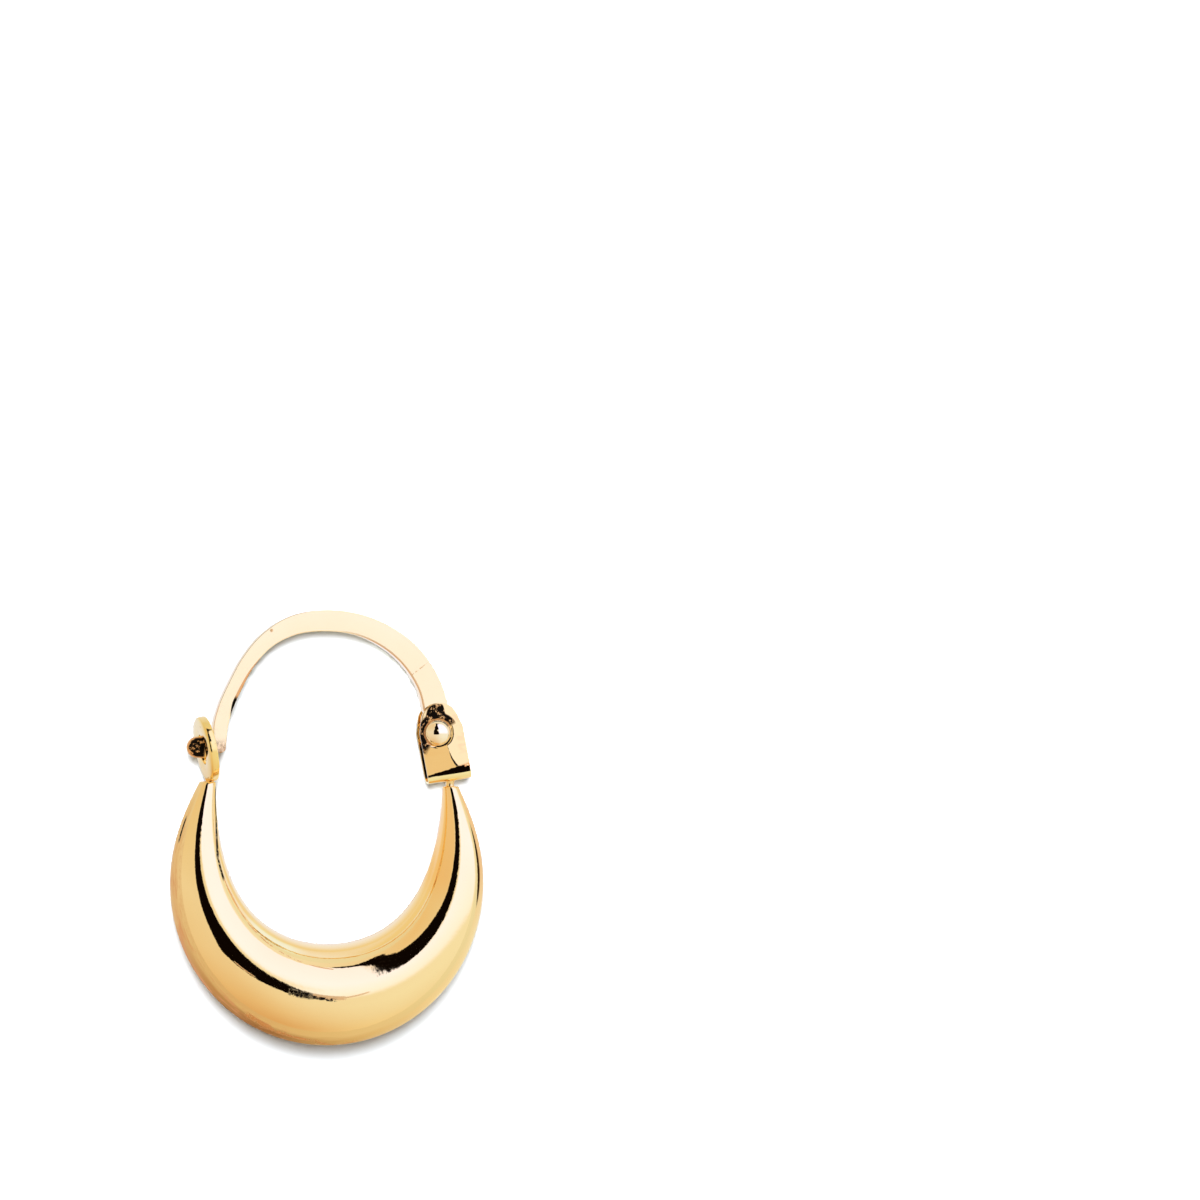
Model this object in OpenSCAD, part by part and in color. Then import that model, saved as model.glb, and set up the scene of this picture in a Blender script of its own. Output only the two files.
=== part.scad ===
// Hollow hoop earring: a hollow crescent, a catch disc, a riveted clevis and a hinged ear wire.
// The hoop is drawn in its own plane, x across and y from the crescent up to the ear wire,
// with its front towards +z. Then it is laid on its side, the way it rests on a table:
// on the belly of the crescent and on the rim of the disc.

/* [Crescent] */
// Half of the crescent's width over its outside
outer_half_w = 6.6; // [6.2:0.05:7]
// From the crescent's widest height down to its outer lowest point
outer_drop = 6.75; // [6.5:0.05:7.2]
// Half of the width of the opening between the limbs
inner_half_w = 4.8; // [4.6:0.02:4.9]
// Height of the opening's widest place
inner_mid_y = 4.15; // [4.05:0.05:4.4]
// From there down to the opening's lowest point
inner_drop = 6.68; // [5.8:0.02:7]
// How much fuller than an ellipse the opening's shoulders are
inner_fullness = 0.022; // [0:0.002:0.03]
// Height at which both tips are cut off
tip_y = 4.1; // [4:0.02:4.14]
// How far the outside flares out at the very tips
tip_flare = 0.24; // [0:0.02:0.3]
// Half of the thickness front to back at the bottom
belly_half = 2.26; // [1.6:0.02:2.6]
// Half of the thickness front to back at the tips
tip_half = 0.36; // [0.3:0.01:0.5]
// Power by which the thickness falls off towards the tips
swell = 0.92; // [0.8:0.02:1.2]
// Thickness of the sheet that the crescent is made of
wall = 0.26; // [0.2:0.02:0.36]

/* [Catch disc] */
// Radius of the disc
disc_r = 1.37; // [1.3:0.01:1.42]
// Radius of the hole for the nib
disc_hole_r = 0.62; // [0.6:0.01:0.7]
// Thickness of the disc
disc_t = 0.38; // [0.3:0.01:0.5]
// How far the disc leans outwards, in degrees
disc_lean = 12; // [10:0.5:14]
// How far the disc is turned towards the front, in degrees
disc_turn = 3; // [0:0.5:6]
// Place of the disc's middle across the hoop
disc_x = -5.23; // [-5.28:0.01:-5.2]
// Height of the disc's middle
disc_y = 5.48; // [5.4:0.01:5.5]

/* [Clevis] */
// Width of the folded strip
clevis_w = 1.84; // [1.84:0.02:2]
// Thickness of the strip
clevis_t = 0.18; // [0.16:0.01:0.24]
// From the rivet's axis down to the outside of the fold
clevis_down = 2.12; // [2.06:0.02:2.16]
// From the rivet's axis up to the top of the ears
clevis_up = 1.23; // [1.15:0.01:1.3]
// Radius of the ears' round top
ear_r = 0.79; // [0.76:0.01:0.84]
// Height above the rivet's axis from which the ears draw in to that top
ear_shoulder = 0.1; // [0:0.02:0.16]
// Outer radius of the fold's two bends
fold_r = 0.36; // [0.3:0.01:0.44]
// How far the clevis leans inwards, in degrees
clevis_lean = 12; // [8:0.5:14]
// How far the rivet sits from the middle of the ears
rivet_shift = 0.16; // [0.06:0.02:0.16]

/* [Rivet] */
// Place of the hinge axis across the hoop
hinge_x = 4.47; // [4.44:0.01:4.5]
// Height of the hinge axis
hinge_y = 6.35; // [6.3:0.01:6.4]
// Radius of the rivet's shank
shank_r = 0.3; // [0.26:0.01:0.32]
// Radius of the rivet's heads
head_r = 0.54; // [0.5:0.01:0.58]
// Height of a domed head
head_h = 0.3; // [0.2:0.01:0.34]
// Radius of the dish pressed into the ears round each head
dish_r = 0.74; // [0.66:0.01:0.75]
// Depth of that dish
dish_depth = 0.06; // [0.04:0.01:0.08]

/* [Ear wire] */
// Thickness of the flattened wire, front to back
wire_t = 0.58; // [0.5:0.02:0.6]
// Width of the wire at the hinge, in the plane of the hoop
wire_w_hinge = 1.06; // [0.96:0.02:1.1]
// Width at the top of the arch
wire_w_top = 0.88; // [0.7:0.02:0.94]
// Width down the free leg
wire_w_leg = 0.6; // [0.54:0.02:0.62]
// Width at the very end
wire_w_end = 0.46; // [0.42:0.02:0.48]
// Radius of the eye round the rivet
eye_r = 0.7; // [0.62:0.01:0.76]
// Radius of the round nib
nib_r = 0.44; // [0.38:0.01:0.45]
// Length of the nib from the middle of the wire's end to its domed tip
nib_length = 1.38; // [1.2:0.02:1.5]
// How far the nib points upwards, in degrees
nib_lean = 1.5; // [0:0.5:3]

/* [Rest] */
// Tilt of the hoop's plane down towards the ear wire, in degrees
rest_pitch = 6.84; // [6:0.02:8]
// Tilt of the hoop's plane down towards the hinge, in degrees
rest_roll = 2.82; // [2:0.02:4]
// Height of the crescent's middle above the floor
rest_lift = 1.78; // [1:0.01:4]

/* [Hidden] */

// Gap between the wire and each ear of the clevis, and round the rivet
side_play = 0.02;
bore_play = 0.03;
seat_play = 0.015;
clevis_gap = wire_t + 2 * side_play;
clevis_half = clevis_gap / 2 + clevis_t;

// Rings along the crescent and sides round it, outside and in the cavity
rings = 72;
sides = 40;
cavity_rings = 44;
cavity_sides = 24;
// The cavity stops this share of the way to the tips, where the sheet closes on itself
cavity_reach = 0.82;

// Solder that fills the joints under the disc and under the clevis, and how deep it runs in
solder_r = 0.22;
solder_top_r = 0.18;
solder_bite = 0.12;
// The flare at the tips grows with this power of the way from the bottom
flare_power = 14;
// The nib's neck, as thin as the wire's end, and the flare that brings it to its full radius
neck_r = 0.19;
neck_length = 0.2;
nib_flare = 0.25;
nib_drop = 0.04;
// Depth by which cuts pass the faces that they start from
over = 0.02;
$fn = 48;

// Turn from straight down to the tips, on a curve with this drop and middle height
function tip_turn(drop, mid_y) = 180 - acos((tip_y - mid_y) / drop);

// Point at share t of the way from the bottom (0) to the tips (-1 and 1)
function curve_at(t, half_w, drop, mid_y, fullness) =
    let (turn = t * tip_turn(drop, mid_y))
    [half_w * (sin(turn) + fullness * sin(3 * turn)) / (1 - fullness),
     mid_y - drop * (cos(turn) - fullness * cos(3 * turn)) / (1 - fullness)];

function outer_at(t, inset) =
    curve_at(t, outer_half_w - inset, outer_drop - inset, 0, 0)
    + [sign(t) * tip_flare * pow(abs(t), flare_power), 0];
function inner_at(t, inset) =
    curve_at(t, inner_half_w + inset, inner_drop + inset, inner_mid_y, inner_fullness);
function half_thick(t) = tip_half + (belly_half - tip_half) * pow(cos(90 * t), swell);

// One oval section of the tube at t, moved in from the outside by inset
function section(t, inset, n) =
    let (o = outer_at(t, inset), i = inner_at(t, inset), h = half_thick(t) - inset)
    let (mid = (o + i) / 2, reach = (o - i) / 2)
    [for (k = [0 : n - 1]) let (a = 360 * k / n)
        [mid.x + reach.x * cos(a), mid.y + reach.y * cos(a), h * sin(a)]];

// A closed tube through all the sections between the two ends
module tube(reach, inset, ring_count, n) {
    points = [for (i = [0 : ring_count]) each section(reach * (2 * i / ring_count - 1), inset, n)];
    walls = [for (i = [0 : ring_count - 1], k = [0 : n - 1])
        let (a = i * n + k, b = i * n + (k + 1) % n)
        each [[a, b, a + n], [b, b + n, a + n]]];
    first_cap = [for (k = [n - 1 : -1 : 0]) k];
    last_cap = [for (k = [0 : n - 1]) ring_count * n + k];
    polyhedron(points, concat([first_cap], walls, [last_cap]), convexity = 6);
}

// The crescent: a hollow tube, fat at the bottom and drawn out to two cut tips
module crescent() {
    difference() {
        tube(1, 0, rings, sides);
        tube(cavity_reach, wall, cavity_rings, cavity_sides);
    }
}

// Places its children with x along the disc's axis, outwards
module at_disc() {
    translate([disc_x, disc_y, 0])
        rotate([0, -disc_turn, 180 + disc_lean])
            children();
}

// The catch: a washer with its hole facing along the hoop, held by its lower edge
module catch_disc() {
    at_disc()
        translate([-disc_t / 2, 0, 0])
            rotate([0, 90, 0])
                difference() {
                    cylinder(r = disc_r, h = disc_t);
                    translate([0, 0, -disc_t])
                        cylinder(r = disc_hole_r, h = 3 * disc_t);
                }
}

// Places its children on the hinge axis, with y up along the leaning clevis
module at_hinge() {
    translate([hinge_x, hinge_y, 0])
        rotate(clevis_lean)
            children();
}

// Outline of one ear, seen from the front: straight sides that draw in to a round top
module ear_outline() {
    half = clevis_w / 2;
    top = clevis_up - ear_r;
    rise = top - ear_shoulder;
    meet = acos(ear_r / norm([half, rise])) - atan2(rise, half);
    touch = [ear_r * cos(meet), top + ear_r * sin(meet)];
    translate([rivet_shift, 0]) {
        translate([0, top])
            circle(r = ear_r);
        polygon([
            [-half, -2 * clevis_down],
            [half, -2 * clevis_down],
            [half, ear_shoulder],
            touch,
            [-touch.x, touch.y],
            [-half, ear_shoulder]]);
    }
}

// Side view of a block this wide to each side, with both lower corners rounded
module rounded_foot(half, r) {
    for (side = [-1, 1])
        translate([side * (half - r), r])
            circle(r = r);
    translate([r - half, 0])
        square([2 * (half - r), 2 * r]);
    translate([-half, r])
        square([2 * half, clevis_down + clevis_up]);
}

// The clevis: the folded strip, bored for the rivet and dished round its heads
module clevis() {
    at_hinge()
        difference() {
            intersection() {
                translate([0, 0, -2 * clevis_half])
                    linear_extrude(4 * clevis_half)
                        ear_outline();
                translate([0, -clevis_down, 0])
                    rotate([0, -90, 0])
                        linear_extrude(4 * clevis_w, center = true)
                            difference() {
                                rounded_foot(clevis_half, fold_r);
                                translate([0, clevis_t])
                                    rounded_foot(clevis_gap / 2, fold_r - clevis_t);
                            }
            }
            translate([0, 0, -2 * clevis_half])
                cylinder(r = shank_r + seat_play, h = 4 * clevis_half);
            for (side = [0, 1])
                mirror([0, 0, side])
                    translate([0, 0, clevis_half - dish_depth])
                        cylinder(r1 = head_r + seat_play, r2 = dish_r, h = dish_depth + over);
        }
}

// Solder under the disc and under the clevis, from the tips of the crescent
module solder() {
    disc_foot = [disc_x, disc_y] + disc_r * [sin(disc_lean), -cos(disc_lean)];
    clevis_foot = [hinge_x, hinge_y] + clevis_down * [sin(clevis_lean), -cos(clevis_lean)]
        + rivet_shift * [cos(clevis_lean), sin(clevis_lean)];
    tip_x = (outer_at(1, 0).x + inner_at(1, 0).x) / 2;
    for (foot = [disc_foot, clevis_foot])
        translate([(foot.x + sign(foot.x) * tip_x) / 2, tip_y - solder_bite, 0])
            rotate([-90, 0, 0])
                cylinder(r1 = solder_r, r2 = solder_top_r, h = foot.y - tip_y + 2 * solder_bite);
}

module hoop_metal() {
    crescent();
    catch_disc();
    clevis();
    solder();
}

// The rivet: a shank with a domed head pressed on at each end
module rivet_metal() {
    seat = clevis_half - dish_depth + seat_play;
    dome_r = (head_r * head_r + head_h * head_h) / (2 * head_h);
    at_hinge() {
        cylinder(r = shank_r, h = 2 * seat + head_h, center = true);
        for (side = [0, 1])
            mirror([0, 0, side])
                translate([0, 0, seat])
                    intersection() {
                        cylinder(r = head_r, h = head_h);
                        translate([0, 0, head_h - dome_r])
                            sphere(r = dome_r);
                    }
    }
}

// The wire's middle line from the rivet over the arch to the free end, with its width
wire_rows = [
    // x, y, width
    [hinge_x, hinge_y, wire_w_hinge],
    [4.4, 7.3, wire_w_hinge],
    [4.04, 8.42, wire_w_hinge - 0.07],
    [3.28, 9.5, wire_w_hinge - 0.09],
    [2.23, 10.3, wire_w_top + 0.04],
    [1.0, 10.79, wire_w_top],
    [-0.31, 10.92, wire_w_top],
    [-1.62, 10.72, wire_w_top - 0.07],
    [-2.75, 10.09, wire_w_leg + 0.08],
    [-3.58, 9.13, wire_w_leg + 0.01],
    [-4.14, 8.05, wire_w_leg],
    [-4.5, 7.2, wire_w_leg],
    [-4.68, 6.4, wire_w_leg],
    [-4.68, 5.56, wire_w_end]];
wire_steps = 6;

// Smooth curve through rows of numbers, at share s between row i and the next one
function row(i) = wire_rows[max(0, min(len(wire_rows) - 1, i))];
function smooth_at(i, s) =
    let (a = row(i - 1), b = row(i), c = row(i + 1), d = row(i + 2))
    b + s * (c - a) / 2 + s * s * (a - 2.5 * b + 2 * c - d / 2)
    + s * s * s * (-a + 3 * b - 3 * c + d) / 2;

// Points of the middle line, and the two edges half a width to each side of it
wire_line = [for (i = [0 : len(wire_rows) - 2], k = [0 : wire_steps - 1])
    smooth_at(i, k / wire_steps), row(len(wire_rows) - 1)];
function edge_at(k, side) =
    let (last = len(wire_line) - 1)
    let (p = wire_line[k], along = wire_line[min(last, k + 1)] - wire_line[max(0, k - 1)])
    let (size = norm([along.x, along.y]))
    [p.x - side * p.z / 2 * along.y / size, p.y + side * p.z / 2 * along.x / size];

module wire_outline() {
    last = len(wire_line) - 1;
    polygon(concat(
        [for (k = [0 : last]) edge_at(k, 1)],
        [for (k = [last : -1 : 0]) edge_at(k, -1)]));
    translate([wire_line[last].x, wire_line[last].y])
        circle(d = wire_w_end);
    translate([hinge_x, hinge_y])
        circle(r = eye_r);
}

// The nib: a round stub on a thin neck, with a domed tip, standing through the disc's hole
module nib() {
    end = wire_line[len(wire_line) - 1];
    full = neck_length + nib_flare;
    dome = nib_length - nib_r;
    translate([end.x, end.y - nib_drop, 0])
        rotate(180 - nib_lean)
            rotate([0, 90, 0]) {
                cylinder(r = neck_r, h = full);
                translate([0, 0, neck_length])
                    cylinder(r1 = neck_r, r2 = nib_r, h = nib_flare);
                translate([0, 0, full])
                    cylinder(r = nib_r, h = dome - full);
                translate([0, 0, dome])
                    sphere(r = nib_r);
            }
}

module wire_metal() {
    difference() {
        union() {
            translate([0, 0, -wire_t / 2])
                linear_extrude(wire_t)
                    wire_outline();
            nib();
        }
        translate([hinge_x, hinge_y, -wire_t])
            cylinder(r = shank_r + bore_play, h = 2 * wire_t);
    }
}

// Lays the hoop on its side, in its resting pose, over the middle of its own footprint
module resting() {
    arch_top = max([for (r = wire_rows) r.y]) + wire_w_top / 2;
    translate([0, (outer_drop - arch_top) / 2, rest_lift])
        rotate([-rest_pitch, rest_roll, 0])
            children();
}

module hoop() {
    color("goldenrod")
        resting()
            hoop_metal();
}

module hinge_rivet() {
    color("gold")
        resting()
            rivet_metal();
}

module ear_wire() {
    color("moccasin")
        resting()
            wire_metal();
}

hoop();
hinge_rivet();
ear_wire();
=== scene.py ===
import math

import bmesh
import bpy
import numpy as np
from mathutils import Euler, Matrix, Vector


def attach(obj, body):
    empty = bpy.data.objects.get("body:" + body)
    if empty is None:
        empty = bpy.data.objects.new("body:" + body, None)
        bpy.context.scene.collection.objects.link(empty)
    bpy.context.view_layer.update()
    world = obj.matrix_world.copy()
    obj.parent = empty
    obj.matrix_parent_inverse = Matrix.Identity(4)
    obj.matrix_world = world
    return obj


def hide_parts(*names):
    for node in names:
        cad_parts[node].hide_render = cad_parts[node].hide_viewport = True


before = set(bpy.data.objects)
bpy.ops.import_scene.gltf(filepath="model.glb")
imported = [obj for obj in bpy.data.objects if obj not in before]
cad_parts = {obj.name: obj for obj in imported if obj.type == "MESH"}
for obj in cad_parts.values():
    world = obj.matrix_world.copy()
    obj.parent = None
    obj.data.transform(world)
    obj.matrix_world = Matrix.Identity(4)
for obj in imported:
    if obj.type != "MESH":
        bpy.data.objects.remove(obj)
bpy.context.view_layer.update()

# Camera
# It looks at the front of the hoop, which lies on its side, from a little to the left and
# from just above square on.
millimetre = 0.001
# The hoop's own frame has x across from the disc to the hinge, y from the crescent up to the
# ear wire and z out of its front, in millimetres. It lies in the tilt that it rests in.
rest_pitch, rest_roll = math.radians(-6.84), math.radians(2.82)
rest_tilt = Euler((rest_pitch, rest_roll, 0), "XYZ")
rest_place = Vector((0, -2.305, 1.78))
lay_hoop = Matrix.Translation(rest_place) @ rest_tilt.to_matrix().to_4x4()

camera_turn, camera_rise, camera_roll = (math.radians(a) for a in (-10.29, 1.36, 1.23))
camera_distance = 375
focal_length = 270
aim_right, aim_up = 11.36, 11.8  # from the middle of the crescent to the middle of the picture
nearest_seen, farthest_seen = 0.01, 20  # metres

towards_camera = rest_tilt.to_matrix() @ Vector((
    math.sin(camera_turn) * math.cos(camera_rise),
    math.sin(camera_rise),
    math.cos(camera_turn) * math.cos(camera_rise)))
level_right = rest_tilt.to_matrix() @ Vector((math.cos(camera_turn), 0, -math.sin(camera_turn)))
level_up = towards_camera.cross(level_right)
picture_right = math.cos(camera_roll) * level_right + math.sin(camera_roll) * level_up
picture_up = towards_camera.cross(picture_right)

camera_data = bpy.data.cameras.new("studio_camera")
camera_data.lens = focal_length
camera_data.clip_start, camera_data.clip_end = nearest_seen, farthest_seen
camera = bpy.data.objects.new("studio_camera", camera_data)
bpy.context.scene.collection.objects.link(camera)
camera_at = rest_place + camera_distance * towards_camera
aim_at = rest_place + aim_right * picture_right + aim_up * picture_up
back = (camera_at - aim_at).normalized()
side = picture_up.cross(back).normalized()
turned = Matrix((side, back.cross(side), back)).transposed().to_4x4()
camera.matrix_world = Matrix.Translation(camera_at * millimetre) @ turned
bpy.context.scene.camera = camera

# Crescent
# Two half shells stamped from thin gold sheet, soldered edge to edge all round into a hollow
# tube that is fat at the bottom and drawn out to two tips. Polished to a mirror afterwards.
outer_half_w, outer_drop = 6.6, 6.75
inner_half_w, inner_drop, inner_mid_y, inner_fullness = 4.8, 6.68, 4.15, 0.022
tip_y, tip_flare, flare_power = 4.1, 0.24, 14
belly_half, tip_half, swell = 2.26, 0.36, 0.92
crescent_rings, crescent_sides = 320, 128
tip_dome, tip_shares = 0.05, (0, 0.5, 0.8, 0.95)
weld_distance = 2e-7  # metres


def curve_at(share, half_w, drop, mid_y, fullness):
    """Points of an outline: share is 0 at the bottom of the hoop and -1 or 1 at a tip."""
    turn = share * (math.pi - math.acos((tip_y - mid_y) / drop))
    return np.stack([
        half_w * (np.sin(turn) + fullness * np.sin(3 * turn)) / (1 - fullness),
        mid_y - drop * (np.cos(turn) - fullness * np.cos(3 * turn)) / (1 - fullness)], -1)


def outer_at(share):
    """The outer outline, which flares a little at the tips."""
    flare = np.sign(share) * tip_flare * np.abs(share) ** flare_power
    return curve_at(share, outer_half_w, outer_drop, 0, 0) + np.stack([flare, 0 * flare], -1)


def inner_at(share):
    """The inner outline, which is higher and fuller than the outer one."""
    return curve_at(share, inner_half_w, inner_drop, inner_mid_y, inner_fullness)


def skin(name, grids, place, body):
    """One smooth piece from grids of points in millimetres, welded where they meet. Its map
    holds the share of the way along and across each grid, one tile further for each grid."""
    shape = bmesh.new()
    spread = shape.loops.layers.uv.new("grid")
    for tile, grid in enumerate(grids):
        points = [[shape.verts.new((place @ Vector(p)) * millimetre) for p in line] for line in grid]
        rows, columns = len(grid) - 1, len(grid[0]) - 1
        for j in range(rows):
            for k in range(columns):
                face = shape.faces.new((
                    points[j][k], points[j][k + 1], points[j + 1][k + 1], points[j + 1][k]))
                for loop, (dj, dk) in zip(face.loops, ((0, 0), (0, 1), (1, 1), (1, 0))):
                    loop[spread].uv = (tile + (j + dj) / rows, (k + dk) / columns)
    bmesh.ops.remove_doubles(shape, verts=shape.verts, dist=weld_distance)
    bmesh.ops.recalc_face_normals(shape, faces=shape.faces)
    for face in shape.faces:
        face.smooth = True
    mesh = bpy.data.meshes.new(name)
    shape.to_mesh(mesh)
    shape.free()
    piece = bpy.data.objects.new(name, mesh)
    bpy.context.scene.collection.objects.link(piece)
    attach(piece, body)
    return piece


class Signal:
    """A socket that shader maths can be written with."""

    def __init__(self, tree, socket):
        self.tree, self.socket = tree, socket

    @classmethod
    def node(cls, tree, kind, settings=None, inputs=None, output=0):
        """A new node: its settings first, then the values or links of its sockets."""
        made = tree.nodes.new(kind)
        for name, value in (settings or {}).items():
            if name == "stops":
                stops = made.color_ramp.elements
                while len(stops) < len(value):
                    stops.new(1)
                for stop, (at, colour) in zip(stops, value):
                    stop.position, stop.color = at, colour
            else:
                setattr(made, name, value)
        for name, value in (inputs or {}).items():
            if isinstance(value, Signal):
                tree.links.new(value.socket, made.inputs[name])
            else:
                made.inputs[name].default_value = value
        return cls(tree, made.outputs[output] if made.outputs else None)

    def maths(self, operation, first, second=0.0):
        return Signal.node(
            self.tree, "ShaderNodeMath", {"operation": operation}, {0: first, 1: second})

    def __add__(self, other):
        return self.maths("ADD", self, other)

    __radd__ = __add__

    def __sub__(self, other):
        return self.maths("SUBTRACT", self, other)

    def __rsub__(self, other):
        return self.maths("SUBTRACT", other, self)

    def __mul__(self, other):
        return self.maths("MULTIPLY", self, other)

    __rmul__ = __mul__

    def __truediv__(self, other):
        return self.maths("DIVIDE", self, other)

    def __pow__(self, other):
        return self.maths("POWER", self, other)

    def __abs__(self):
        return self.maths("ABSOLUTE", self)

    def rise(self, low, high):
        """0 up to low and 1 from high on, with a soft step between them."""
        return Signal.node(
            self.tree, "ShaderNodeMapRange", {"interpolation_type": "SMOOTHSTEP"},
            {"Value": self, "From Min": low, "From Max": high})


def mixed(tree, share, first, second):
    """The first colour where share is 0 and the second where it is 1."""
    return Signal.node(
        tree, "ShaderNodeMix", {"data_type": "RGBA"}, {0: share, 6: first, 7: second}, 2)


def vector_maths(tree, operation, *inputs):
    """A vector that Vector Math makes from vectors or numbers."""
    return Signal.node(
        tree, "ShaderNodeVectorMath", {"operation": operation}, dict(enumerate(inputs)))


def parts(tree, vector):
    """The x, y and z of a vector."""
    split = Signal.node(tree, "ShaderNodeSeparateXYZ", {}, {"Vector": vector}).socket.node
    return [Signal(tree, split.outputs[k]) for k in range(3)]


def own_frame(tree):
    """The point on the piece in the hoop's own frame, in millimetres, as a vector."""
    here = Signal.node(tree, "ShaderNodeTexCoord", output="Object")
    return Signal.node(tree, "ShaderNodeMapping", {"vector_type": "TEXTURE"}, {
        "Vector": here, "Location": rest_place * millimetre, "Rotation": rest_tilt,
        "Scale": (millimetre,) * 3})


def on_map(tree):
    """The share of the way along and across the piece's grid of points, from its map."""
    return parts(tree, Signal.node(tree, "ShaderNodeTexCoord", output="UV"))[:2]


def noise(tree, at, scale, detail=2.0, roughness=0.5, stretch=(1, 1, 1)):
    """Cloudy noise about 0.5, finer along an axis whose stretch is larger."""
    return Signal.node(tree, "ShaderNodeTexNoise", {}, {
        "Vector": vector_maths(tree, "MULTIPLY", at, stretch),
        "Scale": scale, "Detail": detail, "Roughness": roughness})


gold_tone = (1.0, 0.77, 0.4, 1)
deep_gold_tone = (0.94, 0.66, 0.3, 1)
tarnish_tone = (0.34, 0.12, 0.03, 1)
# Copper and soot are the tones of real tarnish and oxide, and also of painted dark reflections and
# painted shade.
copper_and_reflection_tone = (0.85, 0.45, 0.17, 1)
soot_and_shade_tone = (0.006, 0.003, 0.001, 1)
cloud_start, cloud_share = 0.35, 0.5
haze_roughness, line_roughness, dirt_and_shade_roughness, dirt_and_shade_dulling = 0.03, 0.03, 0.6, 0.1
swell_height, line_height, dirt_and_shade_height = 0.9, 0.06, 0.2  # shares of the depth of the bump
bump_depth = 2e-6  # metres


def gold(name, lines, dirt_and_shade, polish=0.035, tone=gold_tone, wave=0.1, lean=None, tints=None):
    """Polished gold. lines makes the height of its fine scratches, from 0 to 1, and the function
    after it the share and the tone of each kind of grime and of painted shade on it; tints gives
    those of places where the clean gold is given another tone, painted reflections and highlights
    among them, and lean a normal that is turned where it is pressed. polish is the roughness of the
    clean gold and wave the height of the small waves in its face."""
    material = bpy.data.materials.new(name)
    material.use_nodes = True
    tree = material.node_tree
    tree.nodes.clear()
    at = own_frame(tree)
    scratches = lines(tree, at)
    cloud = noise(tree, at, 0.35, 3.0)
    haze = noise(tree, at, 1.3, 4.0, 0.6)
    colour = mixed(tree, (cloud - cloud_start) * cloud_share, tone, deep_gold_tone)
    if tints:
        for share, tint in tints(tree, at):
            colour = mixed(tree, share, colour, tint)
    spoilt = 0.0
    for share, dirt_and_shade_tone in dirt_and_shade(tree, at):
        colour = mixed(tree, share, colour, dirt_and_shade_tone)
        spoilt = share + (1 - share) * spoilt
    waves = noise(tree, at, 0.9, 1.0) * swell_height + noise(tree, at, 4.0, 2.0) * wave
    bump = {"Height": waves + scratches * line_height + spoilt * haze * dirt_and_shade_height,
            "Strength": 1.0, "Distance": bump_depth}
    if lean:
        bump["Normal"] = lean(tree, at)
    shader = Signal.node(tree, "ShaderNodeBsdfPrincipled", {}, {
        "Base Color": colour,
        "Metallic": 1 - spoilt * dirt_and_shade_dulling,
        "Roughness": (polish + haze.rise(0.45, 0.8) * haze_roughness
                      + scratches * line_roughness + spoilt * dirt_and_shade_roughness),
        "Normal": Signal.node(tree, "ShaderNodeBump", {}, bump)})
    Signal.node(tree, "ShaderNodeOutputMaterial", {}, {"Surface": shader})
    return material


def buffing(tree, at):
    """Fine lines that run along the crescent, left by the buffing wheel."""
    x, y, z = parts(tree, at)
    length = (x * x + y * y) ** 0.5
    round_way = Signal.node(
        tree, "ShaderNodeCombineXYZ", {}, {"X": length * 9, "Y": y * 0.5, "Z": z * 9})
    return noise(tree, round_way, 3.0, 3.0, 0.7).rise(0.5, 0.75)


def on_crescent(tree):
    """The way along, from -1 at the left tip to 1 at the right one, and the degrees round:
    0 on the outside, 90 on the front and 180 on the inside of the hoop."""
    along, around = on_map(tree)
    half_length = 1 + 2 * len(tip_shares) / crescent_rings
    return along * (2 * half_length) - half_length, around * 360


# Streaks of painted dark reflection, black and copper-brown, laid along the crescent where its
# mirror shows dark things, most of them on the inside of the left limb.
painted_crescent_streaks = [
    # way along and degrees round at both ends, half width in degrees, gaps, strength, tone
    (-0.98, 154, -0.88, 152, 8, 0.36, 1.0, soot_and_shade_tone),
    (-0.88, 152, -0.8, 141, 7.5, 0.36, 1.0, soot_and_shade_tone),
    (-0.8, 141, -0.73, 132, 6, 0.38, 1.0, soot_and_shade_tone),
    (-0.73, 132, -0.64, 132, 4, 0.4, 1.0, soot_and_shade_tone),
    (-0.64, 133, -0.56, 136, 1.6, 0.4, 0.9, copper_and_reflection_tone),
    (-0.56, 136, -0.43, 132, 1.2, 0.44, 1.0, copper_and_reflection_tone),
    (-0.43, 132, -0.27, 128.5, 1.2, 0.4, 1.0, copper_and_reflection_tone),
    (-0.27, 128.5, 0, 122, 0.9, 0.44, 0.8, copper_and_reflection_tone),
    (-0.885, 26, -0.815, 23, 5, 0.34, 1.0, soot_and_shade_tone),
    (-0.385, 78, -0.3, 81.5, 0.8, 0.3, 0.8, copper_and_reflection_tone),
    (-0.1, 89.5, 0.04, 88, 2.8, 0.38, 0.65, copper_and_reflection_tone),
    (0.04, 88.5, 0.13, 90.5, 1.1, 0.3, 0.6, copper_and_reflection_tone),
    (-0.165, 86, -0.085, 88, 5, 0.47, 1.0, soot_and_shade_tone),
    (-0.085, 87.5, 0.005, 86, 2.4, 0.46, 1.0, soot_and_shade_tone),
    (-0.26, 29, -0.13, 27, 7, 0.42, 0.95, copper_and_reflection_tone),
    (-0.15, 26, -0.03, 25, 3, 0.4, 1.0, copper_and_reflection_tone),
    (-0.03, 22, 0.03, 8, 4, 0.36, 0.9, copper_and_reflection_tone),
    (0.03, 11, 0.1, 20, 3, 0.44, 1.0, copper_and_reflection_tone),
    (0.85, 137, 0.7, 134, 2.2, 0.5, 0.5, copper_and_reflection_tone),
    (0.67, 162, 0.6, 167, 2.4, 0.46, 0.9, copper_and_reflection_tone),
    (0.58, 132, 0.52, 132, 1.6, 0.4, 0.6, copper_and_reflection_tone)]
mark_fade, gap_fade = 0.01, 0.05
# Tones of painted reflection inside the hoop.
painted_deeper_tone, painted_paler_tone = (1.0, 0.66, 0.29, 1), (1.0, 0.9, 0.55, 1)


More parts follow.
